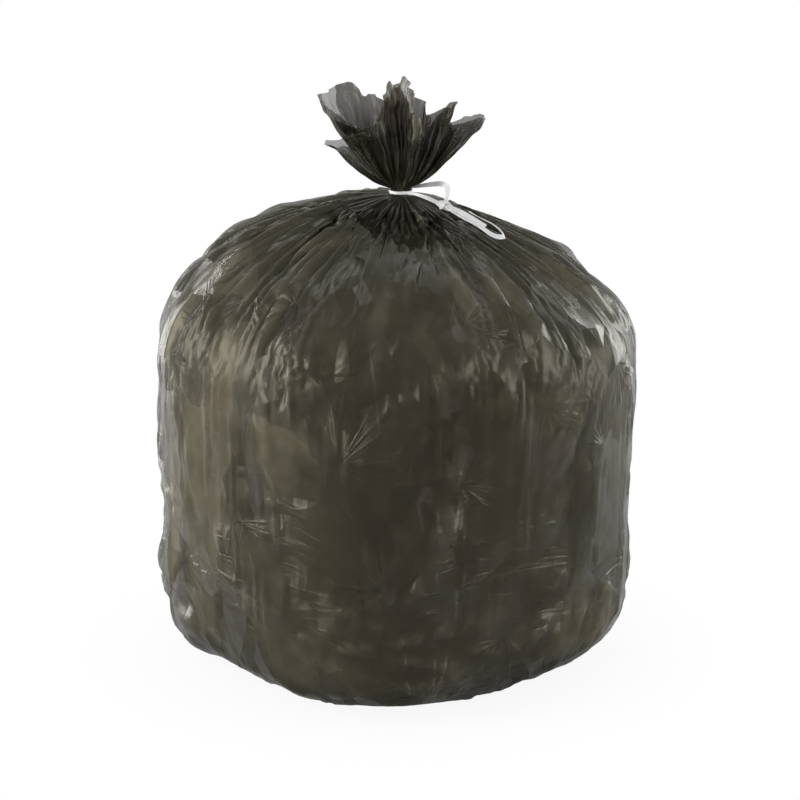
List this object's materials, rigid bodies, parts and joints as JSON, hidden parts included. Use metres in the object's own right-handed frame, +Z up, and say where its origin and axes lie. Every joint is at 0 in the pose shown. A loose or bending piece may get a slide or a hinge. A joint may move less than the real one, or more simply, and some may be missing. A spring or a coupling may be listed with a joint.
{
  "type": "tied bin bag",
  "caption": "Filled thin-film bin bag standing on its base, gathered at the neck, tied with a flat strip and flared to a ruffled tuft above.",
  "frame": {"origin": "middle of the flat spot on the floor that the bag stands on", "axes": "+Z up through the dome, the neck being a few millimetres to the +X side; -Y towards the front, where a corner of the filling pushes out"},
  "size_m": [0.4153, 0.4218, 0.5088],
  "materials": {
    "film": "thin smoke-coloured translucent film, soft gloss, over brownish filling",
    "strip": "white, slightly glossy flat plastic strip"
  },
  "bodies": {
    "root": {"bag": "film", "tie_strip": "strip"}
  },
  "joints": []
}
